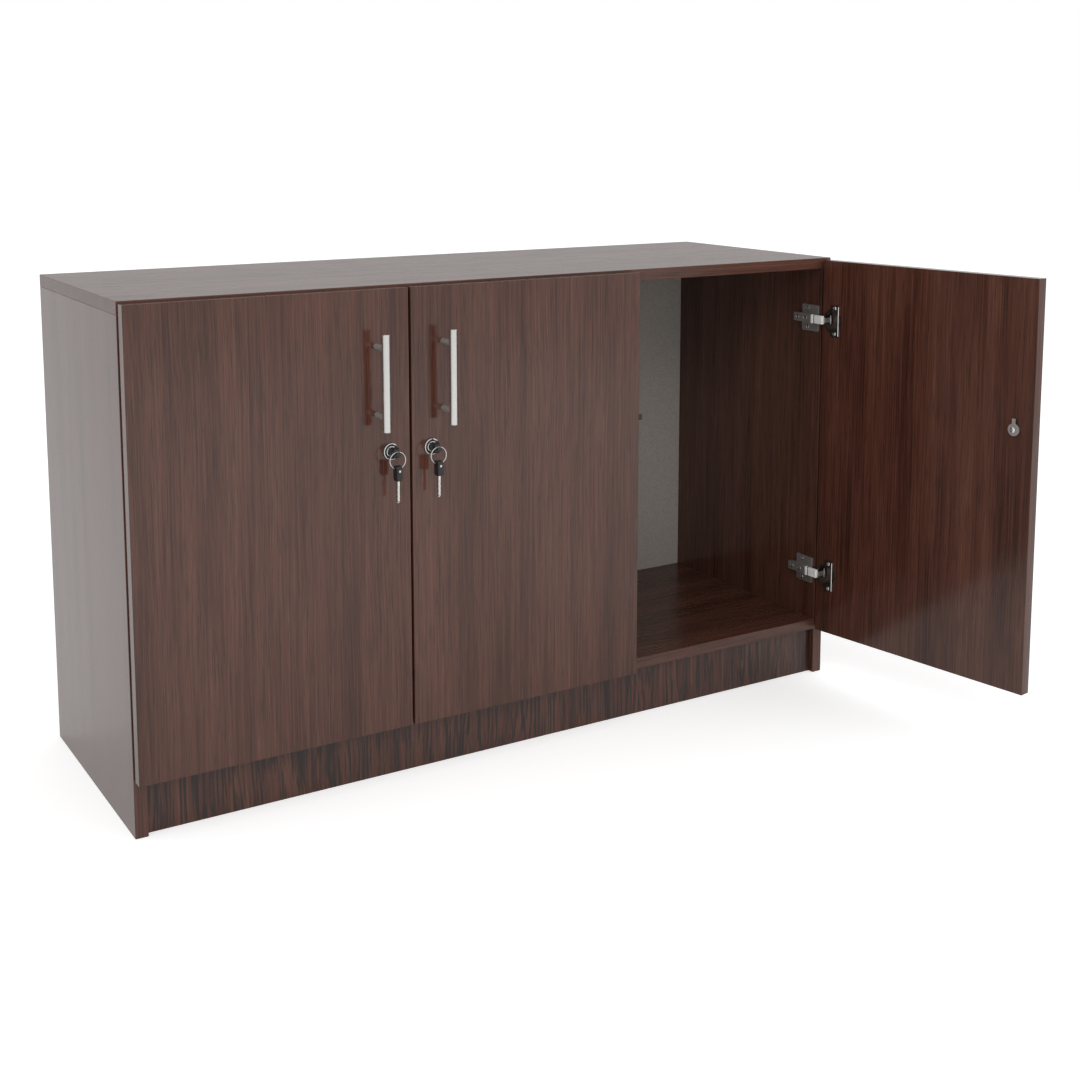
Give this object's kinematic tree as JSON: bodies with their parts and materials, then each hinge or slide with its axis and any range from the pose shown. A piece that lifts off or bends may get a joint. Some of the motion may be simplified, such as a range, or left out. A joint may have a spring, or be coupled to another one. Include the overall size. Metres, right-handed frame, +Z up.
{
  "type": "office credenza",
  "caption": "Low dark-wood office cabinet with overlay doors on concealed hinges, round bar handles and cam locks with hanging keys; one door stands open.",
  "frame": {"origin": "on the floor at mid-width, in the middle of the plinth board's underside", "axes": "+X to the right along the width, +Y from the doors towards the back, +Z up"},
  "size_m": [1.2884, 0.8024, 0.72],
  "materials": {
    "wood_laminate": "dark brown wood-grain laminate, semi-gloss",
    "back_board": "plain grey-brown board",
    "handle_steel": "brushed",
    "hinge_steel": "nickel-plated pressed steel",
    "strike_bronze": "dark brown coating",
    "lock_chrome": "polished",
    "key_plastic": "black moulded key head"
  },
  "bodies": {
    "carcass": {"top_panel": "wood_laminate", "left_side_panel": "wood_laminate", "right_side_panel": "wood_laminate", "bottom_panel": "wood_laminate", "left_partition": "wood_laminate", "right_partition": "wood_laminate", "plinth": "wood_laminate", "back_panel": "back_board", "left_strike_plate": "strike_bronze", "right_strike_plate": "strike_bronze", "left_upper_hinge_plate": "hinge_steel", "left_upper_hinge_arm": "hinge_steel", "left_lower_hinge_plate": "hinge_steel", "left_lower_hinge_arm": "hinge_steel", "middle_upper_hinge_plate": "hinge_steel", "middle_upper_hinge_arm": "hinge_steel", "middle_lower_hinge_plate": "hinge_steel", "middle_lower_hinge_arm": "hinge_steel", "right_upper_hinge_plate": "hinge_steel", "right_upper_hinge_arm": "hinge_steel", "right_lower_hinge_plate": "hinge_steel", "right_lower_hinge_arm": "hinge_steel"},
    "left_door_leaf": {"left_door": "wood_laminate", "left_handle": "handle_steel", "left_lock_housing": "lock_chrome", "left_upper_hinge_cup": "hinge_steel", "left_upper_hinge_pin": "hinge_steel", "left_lower_hinge_cup": "hinge_steel", "left_lower_hinge_pin": "hinge_steel"},
    "left_lock_turning": {"left_lock_plug": "lock_chrome", "left_lock_cam": "hinge_steel", "left_key": "key_plastic"},
    "left_key_set": {"left_key_ring": "lock_chrome", "left_spare_key": "key_plastic"},
    "middle_door_leaf": {"middle_door": "wood_laminate", "middle_handle": "handle_steel", "middle_lock_housing": "lock_chrome", "middle_upper_hinge_cup": "hinge_steel", "middle_upper_hinge_pin": "hinge_steel", "middle_lower_hinge_cup": "hinge_steel", "middle_lower_hinge_pin": "hinge_steel"},
    "middle_lock_turning": {"middle_lock_plug": "lock_chrome", "middle_lock_cam": "hinge_steel", "middle_key": "key_plastic"},
    "middle_key_set": {"middle_key_ring": "lock_chrome", "middle_spare_key": "key_plastic"},
    "right_door_leaf": {"right_door": "wood_laminate", "right_handle": "handle_steel", "right_lock_housing": "lock_chrome", "right_upper_hinge_cup": "hinge_steel", "right_upper_hinge_pin": "hinge_steel", "right_lower_hinge_cup": "hinge_steel", "right_lower_hinge_pin": "hinge_steel"},
    "right_lock_turning": {"right_lock_plug": "lock_chrome", "right_lock_cam": "hinge_steel", "right_key": "key_plastic"},
    "right_key_set": {"right_key_ring": "lock_chrome", "right_spare_key": "key_plastic"}
  },
  "joints": [
    {"name": "left_door_hinge", "type": "hinge", "parent": "carcass", "child": "left_door_leaf", "pos_m": [-0.5905, -0.033, 0.39875], "axis": [0, 0, -1], "range_deg": [0, 105]},
    {"name": "left_lock_turn", "type": "hinge", "parent": "left_door_leaf", "child": "left_lock_turning", "pos_m": [-0.229, -0.033, 0.488], "axis": [0, 1, 0], "range_deg": [0, 90]},
    {"name": "left_key_swing", "type": "hinge", "parent": "left_door_leaf", "child": "left_key_set", "pos_m": [-0.229, -0.033, 0.488], "axis": [0, -1, 0], "range_deg": [-30, 30]},
    {"name": "middle_door_hinge", "type": "hinge", "parent": "carcass", "child": "middle_door_leaf", "pos_m": [0.187, -0.033, 0.39875], "axis": [0, 0, 1], "range_deg": [0, 105]},
    {"name": "middle_lock_turn", "type": "hinge", "parent": "middle_door_leaf", "child": "middle_lock_turning", "pos_m": [-0.165, -0.033, 0.488], "axis": [0, -1, 0], "range_deg": [0, 90]},
    {"name": "middle_key_swing", "type": "hinge", "parent": "middle_door_leaf", "child": "middle_key_set", "pos_m": [-0.165, -0.033, 0.488], "axis": [0, -1, 0], "range_deg": [-30, 30]},
    {"name": "right_door_hinge", "type": "hinge", "parent": "carcass", "child": "right_door_leaf", "pos_m": [0.5905, -0.033, 0.39875], "axis": [0, 0, 1], "range_deg": [-99, 6]},
    {"name": "right_lock_turn", "type": "hinge", "parent": "right_door_leaf", "child": "right_lock_turning", "pos_m": [0.64705, -0.39005, 0.488], "axis": [0.9877, 0.1564, 0], "range_deg": [0, 90]},
    {"name": "right_key_swing", "type": "hinge", "parent": "right_door_leaf", "child": "right_key_set", "pos_m": [0.64705, -0.39005, 0.488], "axis": [0.9877, 0.1564, 0], "range_deg": [-30, 30]}
  ]
}
